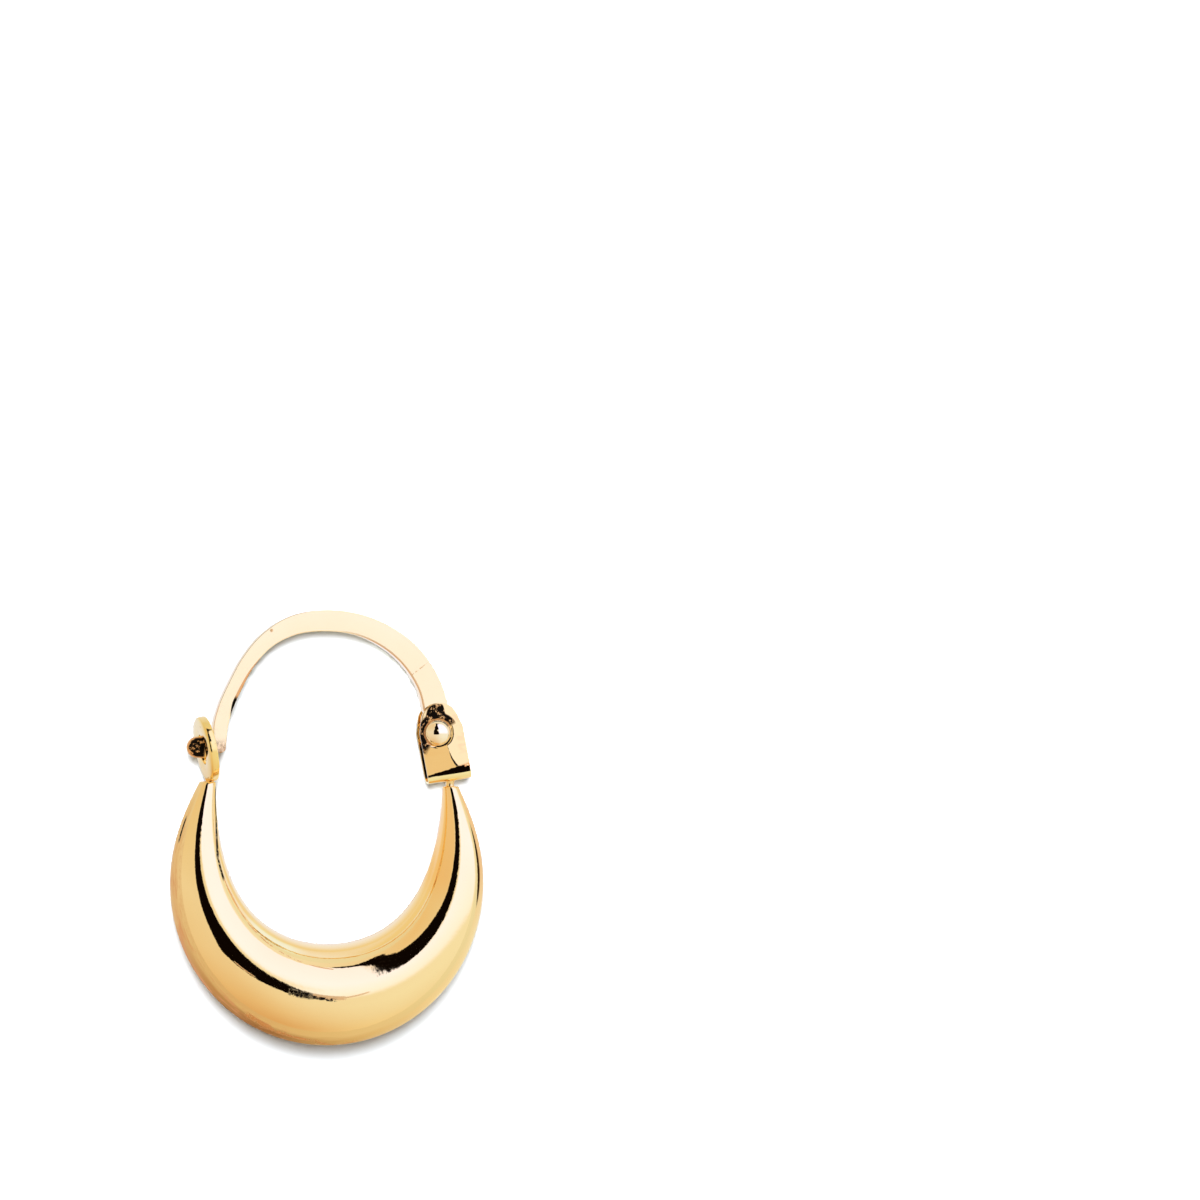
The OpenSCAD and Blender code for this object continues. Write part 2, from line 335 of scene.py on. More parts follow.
def hoop_dirt_and_painted_streaks(tree, at):
    """Painted dark reflections as dull black and copper-brown streaks on the crescent, and specks of
    grime in its seam.
    """
    along, around = on_crescent(tree)
    grit = noise(tree, at, 7.0, 4.0, 0.7)
    stain = noise(tree, at, 2.4, 4.0, 0.65)
    z = parts(tree, at)[2]
    seam = (1 - abs(z).rise(0.02, 0.06)) * noise(tree, at, 3.4, 4.0, 0.7).rise(0.55, 0.65)
    layers = [(seam * 0.5, tarnish_tone)]
    for start, turn, end, last_turn, wide, gaps, strength, tone in painted_crescent_streaks:
        line = (along - start) * ((last_turn - turn) / (end - start)) + turn
        reach = 1 - abs(around - line).rise(wide * 0.5, wide)
        begun = along.rise(start - mark_fade, start + mark_fade)
        ended = along.rise(end - mark_fade, end + mark_fade)
        grain = grit if tone is soot_and_shade_tone else stain
        share = reach * begun * (1 - ended) * grain.rise(gaps, gaps + gap_fade) * strength
        layers.append((share, tone))
    return layers


def hoop_painted_tint(tree, at):
    """Painted reflection inside the hoop: a deeper gold on the right limb and a paler highlight low
    on the left.
    """
    along, around = on_crescent(tree)
    deeper = along.rise(0.54, 0.68) * around.rise(108, 116) * (1 - around.rise(200, 220))
    low_left = along.rise(-0.48, -0.38) * (1 - along.rise(-0.22, -0.1))
    paler = low_left * around.rise(131, 136) * (1 - around.rise(144, 150))
    return [(deeper, painted_deeper_tone), (paler, painted_paler_tone)]


def tip_end(ring):
    """Rows that close one tip with a low dome."""
    core = ring[:-1].mean(axis=0)
    return [core + (ring - core) * share + [0, tip_dome * (1 - share * share) ** 0.5, 0]
            for share in tip_shares]


ring_at = np.linspace(-1, 1, crescent_rings + 1)
outline, opening = outer_at(ring_at), inner_at(ring_at)
ring_middle, ring_reach = (outline + opening) / 2, (outline - opening) / 2
ring_half = tip_half + (belly_half - tip_half) * np.cos(math.pi / 2 * ring_at) ** swell
ring_turn = np.linspace(0, 2 * math.pi, crescent_sides + 1)
rings = np.stack([
    ring_middle[:, None, 0] + ring_reach[:, None, 0] * np.cos(ring_turn),
    ring_middle[:, None, 1] + ring_reach[:, None, 1] * np.cos(ring_turn),
    ring_half[:, None] * np.sin(ring_turn)], -1)
crescent_grid = np.array(tip_end(rings[0]) + list(rings) + tip_end(rings[-1])[::-1])

crescent = skin("crescent", [crescent_grid], lay_hoop, "hoop")
crescent.data.materials.append(gold(
    "crescent_gold", buffing, hoop_dirt_and_painted_streaks, wave=1.1, tints=hoop_painted_tint))
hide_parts("hoop")

# Catch disc
# A washer cut from gold sheet, its hole facing along the hoop, soldered by its lower edge to
# the left tip. Its corners are broken by polishing and both faces are a little crowned.
disc_r, disc_hole_r, disc_t = 1.37, 0.62, 0.38
disc_lean, disc_turn = math.radians(12), math.radians(3)
disc_place = Vector((-5.23, 5.48, 0))
outer_corner, inner_corner, hole_corner, disc_crown = 0.13, 0.06, 0.05, 0.02
# The rim's tone is a painted reflection.
disc_tone, painted_rim_tone = (1.0, 0.83, 0.45, 1), (0.96, 0.7, 0.26, 1)
disc_sides = 96


def corner(at, radius, start, steps=6):
    """Points on a quarter turn round at, from the angle start in degrees."""
    turn = np.radians(start + np.linspace(0, 90, steps + 1))
    return [(at[0] + radius * math.cos(angle), at[1] + radius * math.sin(angle))
            for angle in turn]


def lathe(profile, sides):
    """A profile of radius and height turned about the z axis."""
    turn = np.linspace(0, 2 * math.pi, sides + 1)
    return np.array([
        np.stack([radius * np.cos(turn), radius * np.sin(turn), 0 * turn + height], -1)
        for radius, height in profile])


def disc_side(rim_corner):
    """Profile of one face of the disc, from its rim to its hole."""
    rim, lip = disc_r - rim_corner, disc_hole_r + hole_corner
    face = [(rim + (lip - rim) * share, disc_t / 2 + disc_crown * math.sin(math.pi * share))
            for share in np.linspace(0, 1, 9)[1:-1]]
    return (corner((rim, disc_t / 2 - rim_corner), rim_corner, 0) + face
            + corner((lip, disc_t / 2 - hole_corner), hole_corner, 90))


def filing(tree, at):
    """Short crossing marks of a fine file."""
    return noise(tree, at, 2.2, 3.0, 0.7, (9, 1.5, 9)).rise(0.52, 0.75)


def few_specks(tree, at):
    """A few dull specks."""
    return [(noise(tree, at, 6.0, 2.0).rise(0.68, 0.78) * 0.4, tarnish_tone)]


def rim_painted_tint(tree, at):
    """The rim is painted a deeper gold than the faces, a painted reflection. The map runs
    along the profile, which starts and ends on the rim."""
    profile = on_map(tree)[0]
    return [(1 - profile.rise(0.05, 0.1) + profile.rise(0.88, 0.94), painted_rim_tone)]


disc_profile = disc_side(outer_corner) + [(r, -z) for r, z in reversed(disc_side(inner_corner))]
disc_profile.append(disc_profile[0])
lay_disc = (lay_hoop @ Matrix.Translation(disc_place)
            @ Euler((0, -disc_turn, math.pi + disc_lean), "XYZ").to_matrix().to_4x4()
            @ Matrix.Rotation(math.pi / 2, 4, "Y"))

catch_disc = skin("catch_disc", [lathe(disc_profile, disc_sides)], lay_disc, "hoop")
catch_disc.data.materials.append(gold(
    "disc_gold", filing, few_specks, tone=disc_tone, tints=rim_painted_tint))
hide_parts("hoop")

# Clevis
# A strip of thin gold sheet folded into a U round the end of the ear wire. Its two ears are
# filed to round tops, drilled, and dished round the rivet when its heads are set.
clevis_w, clevis_t, clevis_down, clevis_up = 1.84, 0.18, 2.12, 1.23
ear_r, ear_shoulder, ear_foot, fold_r, rivet_shift = 0.79, 0.1, -1.0, 0.36, 0.16
clevis_lean = math.radians(12)
hinge_place = Vector((4.47, 6.35, 0))
wire_t, side_play, bore_r = 0.58, 0.02, 0.315
dish_start, dish_r, dish_depth = 0.555, 0.64, 0.06
clevis_half = wire_t / 2 + side_play + clevis_t
sheet_corner, sheet_crown = 0.02, 0.016
innermost_inset = 1.3  # times the corner of the sheet, where the flat of an ear begins
press_depth, press_start, press_fade = 0.06, 0.5, 0.4
crease_rows = np.array([
    # way down from the hinge, place across
    (0.5, 0.27), (0.87, 0.32), (1.15, 0.375), (1.4, 0.48), (1.6, 0.6), (1.9, 0.8)])
# The paler tone of the fold is a painted highlight.
clevis_tone, painted_fold_highlight_tone = (1.0, 0.72, 0.34, 1), (1.0, 0.86, 0.45, 1)
warmed_tone, heated_tone = (0.97, 0.58, 0.27, 1), (0.85, 0.38, 0.12, 1)
lay_hinge = lay_hoop @ Matrix.Translation(hinge_place) @ Matrix.Rotation(clevis_lean, 4, "Z")


def fold(x, along, height):
    """Where a point of the flat strip lies once it is folded: along is its way from the middle
    of the fold, height how far it is over the middle of the sheet."""
    bend_r, level = fold_r - clevis_t / 2, clevis_half - fold_r
    bend = bend_r * math.pi / 2
    way, front = np.abs(along), np.sign(along) + (along == 0)
    turn, outwards = np.clip((way - level) / bend_r, 0, math.pi / 2), bend_r + height
    y = -clevis_down + fold_r - outwards * np.cos(turn) + np.maximum(way - level - bend, 0)
    z = np.minimum(way, level) + outwards * np.sin(turn)
    return np.stack(np.broadcast_arrays(x, y, front * z), -1)


def way_to(y):
    """Way along the strip from the middle of the fold to the height y of an ear."""
    return clevis_half - fold_r + (fold_r - clevis_t / 2) * math.pi / 2 + y + clevis_down - fold_r


def sheet_height(x, y, inset, outside):
    """Height of the sheet's face over its middle: rounded at the edges and, on the outside,
    crowned, pressed in beside the crease and dished round the rivet."""
    turn = np.arccos(np.clip(1 - inset / sheet_corner, 0, 1))
    height = clevis_t / 2 - sheet_corner * (1 - np.sin(turn)) + 0 * x
    if not outside:
        return -height
    crown = -sheet_crown * ((x - rivet_shift) / (clevis_w / 2)) ** 2
    aside = np.clip(np.interp(-y, *crease_rows.T) - x, 0, 1)
    pressed = press_depth * aside * np.clip((-y - press_start) / press_fade, 0, 1)
    away = np.hypot(x, y)
    dish = dish_depth * (1 - np.clip((away - dish_start) / (dish_r - dish_start), 0, 1))
    return height + crown - pressed - dish


# The edge of an ear, from its right foot over its round top to its left foot: the place of
# each point and the way out of the metal there.
half_w = clevis_w / 2
ear_top = clevis_up - ear_r
ear_rise = ear_top - ear_shoulder
meet = math.acos(ear_r / math.hypot(half_w, ear_rise)) - math.atan2(ear_rise, half_w)
touch = (ear_r * math.cos(meet), ear_top + ear_r * math.sin(meet))
right_side = [(half_w, y, 1, 0) for y in np.linspace(ear_foot, ear_shoulder, 16)[:-1]]
right_side += [
    (half_w + (touch[0] - half_w) * share, ear_shoulder + (touch[1] - ear_shoulder) * share,
     math.cos(meet), math.sin(meet)) for share in np.linspace(0, 1, 8)[:-1]]
right_side += [
    (ear_r * math.cos(angle), ear_top + ear_r * math.sin(angle), math.cos(angle), math.sin(angle))
    for angle in np.linspace(meet, math.pi / 2, 24)]
left_side = [(-x, y, -out_x, out_y) for x, y, out_x, out_y in right_side[-2::-1]]
ear_edge = np.array(right_side + left_side)
insets = sheet_corner * np.append(1 - np.cos(np.radians(np.arange(0, 91, 18))), innermost_inset)
inner_columns = np.linspace(half_w - insets[-1], -half_w + insets[-1], 27)

# Each ear has two faces, a rounded rim and a web from there to the bore on each, and the
# walls of its edge and of its bore between them.
clevis_grids = []
for ear in (1, -1):
    edge_lines, hole_lines = [], []
    for outside in (True, False):
        rim = []
        for inset in insets:
            x = ear_edge[:, 0] - ear_edge[:, 2] * inset + rivet_shift
            y = ear_edge[:, 1] - ear_edge[:, 3] * inset * (ear_edge[:, 1] > ear_shoulder)
            rim.append(np.stack([x, y, sheet_height(x, y, inset, outside)], -1))
        foot_x = inner_columns[::-1][1:-1] + rivet_shift
        foot_height = sheet_height(foot_x, ear_foot, sheet_corner, outside)
        foot = np.stack([foot_x, 0 * foot_x + ear_foot, foot_height], -1)
        loop = np.concatenate([rim[-1], foot, rim[-1][:1]])
        turn = np.arctan2(loop[:, 1], loop[:, 0])
        bore = np.stack([bore_r * np.cos(turn), bore_r * np.sin(turn)], -1)
        web = [loop]
        for share in np.linspace(0, 1, 31)[1:]:
            x, y = (loop[:, :2] * (1 - share) + bore * share).T
            web.append(np.stack([x, y, sheet_height(x, y, sheet_corner, outside)], -1))
        for grid in (np.array(rim), np.array(web)):
            clevis_grids.append(fold(grid[..., 0], ear * way_to(grid[..., 1]), grid[..., 2]))
        edge_lines.append(clevis_grids[-2][0])
        hole_lines.append(clevis_grids[-1][-1])
    clevis_grids += [np.array(edge_lines), np.array(hole_lines)]

# The belt from the foot of one ear round the fold to the foot of the other.
belt_x = np.concatenate([half_w - insets[:-1], inner_columns, -half_w + insets[-2::-1]])
belt_x = belt_x + rivet_shift
belt_inset = np.concatenate([insets[:-1], 0 * inner_columns + sheet_corner, insets[-2::-1]])
belt_way = np.linspace(-way_to(ear_foot), way_to(ear_foot), 97)
belt_y = ear_foot - way_to(ear_foot) + np.maximum(np.abs(belt_way), way_to(fold_r - clevis_down))
belt_faces = []
for outside in (True, False):
    height = sheet_height(belt_x[None, :], belt_y[:, None], belt_inset[None, :], outside)
    belt_faces.append(fold(belt_x[None, :], belt_way[:, None], height))
clevis_grids += belt_faces
for column in (0, -1):
    clevis_grids.append(np.array([face[:, column] for face in belt_faces]))


def ramp(tree, share, stops):
    """A colour that changes with share, from stops of share and colour."""
    return Signal.node(
        tree, "ShaderNodeValToRGB", {"stops": [(at, (*colour, 1)) for at, colour in stops]},
        {0: share})


def from_hinge(tree, at):
    """From the hinge: x and y, the way across and down the leaning ears, and z."""
    x, y, z = parts(tree, at)
    x, y = x - hinge_place.x, y - hinge_place.y
    across = x * math.cos(clevis_lean) + y * math.sin(clevis_lean)
    down = x * math.sin(clevis_lean) - y * math.cos(clevis_lean)
    return x, y, across, down, z


def beside_crease(tree, across, down):
    """The way right of the crease. The ramp reads half the way down, to stay within 1."""
    stops = [(row_down / 2, (row_across,) * 3) for row_down, row_across in crease_rows]
    return across - ramp(tree, down / 2, stops)


def clevis_dirt_and_shade(tree, at):
    """Black mottling on the left of the rivet and over its top, where the ears were set, a
    painted shadow as a thin black arc at the lower right of its head, and painted shade as a black
    line in the crease."""
    x, y, across, down, z = from_hinge(tree, at)
    grit = noise(tree, at, 4.5, 5.0, 0.75)
    on_front = z.rise(0.3, 0.4)
    away = (x * x + y * y + 0.0001) ** 0.5  # never quite 0
    over_top = (y / away).rise(0.75, 1.0) * (1 - (x / away).rise(0.1, 0.35)) * 0.35
    below = ((x * -0.5 - y * 0.87) / away).rise(0.88, 0.97) * 0.2
    lower_right = (x * 0.72 - y * 0.69) / away
    ring = (1 - (away - over_top - below).rise(0.82, 0.88)) * (1 - lower_right.rise(0.1, 0.35))
    ring = ring * abs(z).rise(0.36, 0.4)
    # Painted shadow: a thin black arc in the gap at the lower right of the head.
    right_below = (x * 0.55 - y * 0.83) / away
    arc = away.rise(0.53, 0.545) * (1 - away.rise(0.585, 0.61)) * right_below.rise(0.74, 0.8)
    # Painted shade: a black line down the crease.
    beside = beside_crease(tree, across, down)
    crease = 1 - (abs(beside) - (down - 0.9) * 0.06).rise(0.008, 0.022)
    crease = crease * down.rise(0.86, 0.92) * (1 - down.rise(1.48, 1.54))
    return [
        (ring * away.rise(0.5, 0.53) * grit.rise(0.3, 0.4) * 0.8, copper_and_reflection_tone),
        (ring * (away + grit * 0.16).rise(0.67, 0.7) * grit.rise(0.425, 0.45), soot_and_shade_tone),
        (arc * on_front, soot_and_shade_tone),
        (crease * grit.rise(0.38, 0.44) * on_front, soot_and_shade_tone)]


def pressed_lean(tree, at):
    """The front ear is pressed in on the left of a crease and just above the fold, where its
    face leans to the left: a normal turned by slopes across and up the hoop."""
    across, down, z = from_hinge(tree, at)[2:]
    beside = beside_crease(tree, across, down)
    grain = noise(tree, at, 4.0, 4.0, 0.65)
    on_face = z.rise(0.3, 0.4) * down.rise(0.5, 0.6)
    sharpness = grain.rise(0.4, 0.6) * (down.rise(1.0, 1.45) * 1.3 + 0.35) + 0.15
    facet = on_face * (1 - (beside / sharpness).rise(-0.05, 0.03)) * (1 - down.rise(1.66, 1.72))
    right_of_middle = across - 0.5
    drooping = right_of_middle.maths("MAXIMUM", right_of_middle) * 0.4
    ragged = grain * (across.rise(0.4, 0.9) * 0.2 + 0.12)
    wedge_top = across * -0.12 + drooping - ragged + 1.64
    wedge = (down - wedge_top).rise(0, 0.04) * (1 - (down - across * 0.07).rise(1.76, 1.8))
    wedge = on_face * wedge
    normal = Signal.node(tree, "ShaderNodeNewGeometry", output="Normal")
    for share, slopes in ((facet * (1 - wedge), (-0.37, -0.15, 0)), (wedge, (-0.12, 0.05, 0))):
        turned_slopes = rest_tilt.to_matrix() @ Vector(slopes)
        normal = vector_maths(tree, "MULTIPLY_ADD", share, turned_slopes, normal)
    return vector_maths(tree, "NORMALIZE", normal)


def fold_highlight_and_heat_tint(tree, at):
    """A painted highlight makes the fold paler. The heat of soldering left its right end orange in
    streaks, and a faint warm cloud on the right of the ears."""
    across, down, z = from_hinge(tree, at)[2:]
    streaks = noise(tree, at, 2.6, 5.0, 0.75, (1, 3, 1)).rise(0.47, 0.53)
    heated = (down + across * 0.1).rise(1.5, 1.62) * (1 - down.rise(1.74, 1.8))
    heated = heated * across.rise(0.5, 0.62) * z.rise(0.3, 0.4)
    clouds = noise(tree, at, 1.9, 2.0, 0.5, (1, 2, 1)).rise(0.45, 0.6)
    clouds = clouds * across.rise(0.62, 0.8) * (1 - down.rise(0.9, 1.1))
    return [(down.rise(1.72, 1.82), painted_fold_highlight_tone),
            (clouds * 0.4, warmed_tone),
            (heated * streaks, heated_tone)]


clevis = skin("clevis", clevis_grids, lay_hinge, "hoop")
clevis.data.materials.append(gold(
    "clevis_gold", filing, clevis_dirt_and_shade, tone=clevis_tone, lean=pressed_lean, tints=fold_highlight_and_heat_tint))
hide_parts("hoop")

# Solder joints
# Short necks of gold solder that hold the disc and the clevis on the tips of the crescent.
# The solder drew in while it was liquid, so each neck is narrower in the middle.
solder_r, solder_waist_r, solder_bite = 0.24, 0.17, 0.12
solder_polish, solder_sides = 0.14, 48
disc_foot = (
    disc_place.x + disc_r * math.sin(disc_lean),
    disc_place.y - disc_r * math.cos(disc_lean))
clevis_foot = (
    hinge_place.x + clevis_down * math.sin(clevis_lean) + rivet_shift * math.cos(clevis_lean),
    hinge_place.y - clevis_down * math.cos(clevis_lean) + rivet_shift * math.sin(clevis_lean))
tip_x = ring_middle[-1, 0]
solder_grids = []
for foot_x, foot_y in (disc_foot, clevis_foot):
    low, high = tip_y - solder_bite, foot_y + solder_bite
    profile = [(0, 0)] + [
        (solder_waist_r + (solder_r - solder_waist_r) * (2 * share - 1) ** 2, share * (high - low))
        for share in np.linspace(0, 1, 17)] + [(0, high - low)]
    neck = lathe(profile, solder_sides)
    neck_x = (foot_x + math.copysign(tip_x, foot_x)) / 2
    solder_grids.append(np.stack([neck[..., 0] + neck_x, neck[..., 2] + low, -neck[..., 1]], -1))

solder = skin("solder_joints", solder_grids, lay_hoop, "hoop")
solder.data.materials.append(gold(
    "solder_gold", filing, few_specks, polish=solder_polish, tone=deep_gold_tone))
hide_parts("hoop")

# Rivet
# A gold pin through both ears and the eye of the wire. Its ends are hammered over into low
# domes that sit in the dishes of the ears.
shank_r, head_r, head_h, seat_play, head_corner = 0.3, 0.54, 0.3, 0.015, 0.03
rivet_tone, rivet_sides = (1.0, 0.86, 0.63, 1), 64
dome_share = 0.96  # of the dome's turn, which leaves room for the corner of the head
rivet_seat = clevis_half - dish_depth + seat_play
dome_r = (head_r ** 2 + head_h ** 2) / (2 * head_h)
dome_turn = math.asin((head_r - head_corner / 2) / dome_r)
rivet_half = [(shank_r, 0), (shank_r, rivet_seat)]
rivet_half += corner((head_r - head_corner, rivet_seat + head_corner), head_corner, -90, 4)
rivet_half += [
    (dome_r * math.sin(angle), rivet_seat + head_h - dome_r + dome_r * math.cos(angle))
    for angle in np.linspace(dome_turn * dome_share, 0, 24)]
rivet_profile = [(r, -z) for r, z in reversed(rivet_half)] + rivet_half[1:]


def hammering(tree, at):
    """Faint facets of the setting hammer."""
    return noise(tree, at, 4.0, 2.0, 0.5).rise(0.45, 0.7)


rivet = skin("rivet", [lathe(rivet_profile, rivet_sides)], lay_hinge, "hoop")
rivet.data.materials.append(gold("rivet_gold", hammering, few_specks, tone=rivet_tone))
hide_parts("hinge_rivet")

# Ear wire
# Round gold wire rolled flat and bent into an arch, with an eye at the hinge end and a round
# nib at the free end that snaps into the hole of the disc. The broad faces are polished.
wire_rows = np.array([
    # x, y, width
    (hinge_place.x, hinge_place.y, 1.06), (4.4, 7.3, 1.06), (4.04, 8.42, 0.99), (3.28, 9.5, 0.97),
    (2.23, 10.3, 0.92), (1.0, 10.79, 0.88), (-0.31, 10.92, 0.88), (-1.62, 10.72, 0.81),
    (-2.75, 10.09, 0.68), (-3.58, 9.13, 0.61), (-4.14, 8.05, 0.6), (-4.5, 7.2, 0.6),
    (-4.68, 6.4, 0.6), (-4.68, 5.56, 0.46)])
wire_steps, wire_corner, wire_crown = 14, 0.018, 0.0015
first_column = 0.985  # of the faces of the strip, as a share of their half width
steps_in_bore = 6  # left off, so that the strip starts in the metal of the eye
face_half = wire_t / 2 - wire_crown
eye_r, eye_bore_r, eye_bore_corner, eye_sides = 0.7, 0.33, 0.04, 96
nib_r, nib_length, nib_lean, nib_sides = 0.44, 1.38, math.radians(1.5), 72
neck_r, neck_length, nib_flare, nib_drop = 0.19, 0.2, 0.25, 0.04
nick_at, scratch_at, scratch_slope = Vector((-2.64, 10.46)), Vector((3.36, 8.76)), 0.8
wire_tone = (1.0, 0.79, 0.45, 1)
# Tones of painted reflection on the broken inner edge and on the foot of the wire.
painted_bevel_tone, painted_foot_tone = (0.74, 0.36, 0.13, 1), (0.85, 0.56, 0.31, 1)

# A smooth line through the rows above, and the way that it heads.
rows = np.vstack([wire_rows[:1], wire_rows, wire_rows[-1:]])
line = []
for before, start, end, after in zip(rows, rows[1:], rows[2:], rows[3:]):
    for share in np.arange(wire_steps) / wire_steps:
        line.append(start + share * (end - before) / 2
                    + share ** 2 * (before - 2.5 * start + 2 * end - after / 2)
                    + share ** 3 * (-before + 3 * start - 3 * end + after) / 2)
line = np.array(line + [wire_rows[-1]])[steps_in_bore:]
heading = np.gradient(line[:, :2], axis=0)
heading /= np.linalg.norm(heading, axis=1)[:, None]


def eased(share):
    """The share with a gentle start and end."""
    return 3 * share * share - 2 * share ** 3


def strip_section(half):
    """Loop of (across, height) round the flat strip, with rounded corners and crowned faces.
    It starts on the strip's inner edge and goes over the front to the outer edge."""
    quarter = corner((half - wire_corner, face_half - wire_corner), wire_corner, 0)
    shares = [first_column, *np.linspace(1, -1, 17)[1:-1], -first_column]
    face = [((half - wire_corner) * share, face_half + wire_crown * (1 - share * share))
            for share in shares]
    front = quarter + face + [(-x, y) for x, y in reversed(quarter)]
    loop = front + [(-x, -y) for x, y in front]
    return np.array(loop + loop[:1])


def set_square(x, y, dx, dy, loop):
    """A section's loop set square to the strip at x, y, where it heads along dx, dy."""
    return np.stack([x - dy * loop[:, 0], y + dx * loop[:, 0], loop[:, 1]], -1)


sections = [set_square(x, y, dx, dy, strip_section(width / 2))
            for (x, y, width), (dx, dy) in zip(line, heading)]
# The free end is rounded off: its sections shrink along a half circle, and its faces drop
# over the strip's own small corner.
(end_x, end_y, end_w), (dx, dy) = line[-1], heading[-1]
end_loop = strip_section(end_w / 2)
for angle in np.radians(np.linspace(0, 90, 15)[1:]):
    ahead = end_w / 2 * math.sin(angle)
    corner_left = min(1.0, (1 - math.sin(angle)) * end_w / 2 / wire_corner)
    round_off = math.sqrt(max(0.0, 1 - (1 - corner_left) ** 2))
    thick = face_half - wire_corner + wire_corner * round_off
    sections.append(set_square(
        end_x + dx * ahead, end_y + dy * ahead, dx, dy,
        end_loop * [max(math.cos(angle), 0.0), thick / face_half]))
sections.append(set_square(
    end_x + dx * end_w / 2, end_y + dy * end_w / 2, dx, dy, 0 * end_loop))
sections.insert(0, sections[0] * 0 + sections[0][:-1].mean(axis=0))

eye_half = corner((eye_r - wire_corner, wire_t / 2 - wire_corner), wire_corner, 0)
eye_half += corner(
    (eye_bore_r + eye_bore_corner, wire_t / 2 - eye_bore_corner), eye_bore_corner, 90)
eye_profile = eye_half + [(r, -z) for r, z in reversed(eye_half)]
eye_profile.append(eye_profile[0])
eye = lathe(eye_profile, eye_sides) + [hinge_place.x, hinge_place.y, 0]

full_at = neck_length + nib_flare
dome_at = nib_length - nib_r
nib_profile = [(0, 0), (neck_r, 0), (neck_r, neck_length)]
nib_profile += [(neck_r + (nib_r - neck_r) * eased(share), neck_length + nib_flare * share)
                for share in np.linspace(0, 1, 13)[1:]]
nib_profile += [(nib_r, full_at + (dome_at - full_at) * share) for share in (0.25, 0.5, 0.75)]
nib_profile += [(nib_r * math.cos(angle), dome_at + nib_r * math.sin(angle))
                for angle in np.linspace(0, math.pi / 2, 25)]
lay_nib = np.array(
    Matrix.Translation((end_x, end_y - nib_drop, 0)) @ Matrix.Rotation(math.pi - nib_lean, 4, "Z")
    @ Matrix.Rotation(math.pi / 2, 4, "Y"))
nib = lathe(nib_profile, nib_sides) @ lay_nib[:3, :3].T + lay_nib[:3, 3]


def drawing(tree, at):
    """Lines along the strip from the rollers, and a few short scratches across it."""
    return noise(tree, at, 1.6, 4.0, 0.75, (2, 6, 9)).rise(0.52, 0.72)


def bevel(along, across):
    """1 on the inner edge of the left leg, where the reflections of a broken edge, which is widest
    above the foot, are painted on the unbroken mesh. The map of the strip runs along from the eye,
    at 0, to the free end, at 1, and across from the inner edge over the front, which ends at 0.38,
    to the outer edge and back."""
    width = along.rise(0.59, 0.71) * (1 - along.rise(0.74, 0.804))
    return (1 - (across - width * 0.045).rise(0.11, 0.118)) * along.rise(0.59, 0.62)


def wire_painted_tint(tree, at):
    """Painted reflections make the broken inner edge of the left leg and the foot of the wire redder
    than its faces.
    """
    x, y = parts(tree, at)[:2]
    along, across = on_map(tree)
    return [(bevel(along, across) * (1 - along.rise(0.783, 0.804)), painted_bevel_tone),
            ((1 - y.rise(5.3, 6.1)) * x.rise(-4.98, -4.9), painted_foot_tone)]


def wire_wear_and_painted_shade(tree, at):
    """The nib's blackened top where it rubs in the disc, brown lines on the strip's edges, a
    painted dark reflection on the broken inner edge of the left leg, a nick in its face at the
    upper left and a scratch across it on the right."""
    x, y, z = parts(tree, at)
    grit = noise(tree, at, 6.0, 4.0, 0.7)
    on_nib = 1 - x.rise(-5.4, -5.3)
    mottling = (grit + (x + 5.7) * 0.2).rise(0.42, 0.45)
    along, across = on_map(tree)
    inner_edge = 1 - across.rise(0.115, 0.135)
    outer_edge = across.rise(0.365, 0.385) * (1 - across.rise(0.44, 0.48))
    right_leg = 1 - along.rise(0.26, 0.4)
    left_leg = along.rise(0.72, 0.735) * (1 - along.rise(0.778, 0.804)) * grit.rise(0.3, 0.36)
    left_foot = along.rise(0.753, 0.783) * (1 - along.rise(0.845, 0.876)) * grit.rise(0.3, 0.5)
    foot = (1 - y.rise(5.3, 6.0)) * x.rise(-4.95, -4.85) * grit.rise(0.42, 0.56) * 0.5
    on_face = z.rise(0.25, 0.28)
    nick_x, nick_y = x - nick_at.x, y - nick_at.y
    nick = 1 - ((nick_x * nick_x + nick_y * nick_y) ** 0.5).rise(0.03, 0.09)
    off_scratch = abs((y - scratch_at.y) - (x - scratch_at.x) * scratch_slope).rise(0.01, 0.04)
    scratch = (1 - off_scratch) * x.rise(3.3, 3.4) * (1 - x.rise(3.6, 4.1)) * grit.rise(0.4, 0.5)
    return [
        (on_nib * z.rise(0.02, 0.12) * 0.9, copper_and_reflection_tone),
        (on_nib * z.rise(0.18, 0.24) * mottling, soot_and_shade_tone),
        (bevel(along, across) * left_leg, soot_and_shade_tone),
        (inner_edge * right_leg * 0.8, copper_and_reflection_tone),
        (outer_edge * left_foot, copper_and_reflection_tone),
        (foot * on_face, tarnish_tone),
        (nick * on_face * grit.rise(0.4, 0.5) * 0.8, copper_and_reflection_tone),
        (scratch * on_face * 0.7, copper_and_reflection_tone)]


ear_wire = skin("ear_wire_strip", [np.array(sections), eye, nib], lay_hoop, "ear_wire")
ear_wire.data.materials.append(gold(
    "wire_gold", drawing, wire_wear_and_painted_shade, tone=wire_tone, tints=wire_painted_tint))
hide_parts("ear_wire")

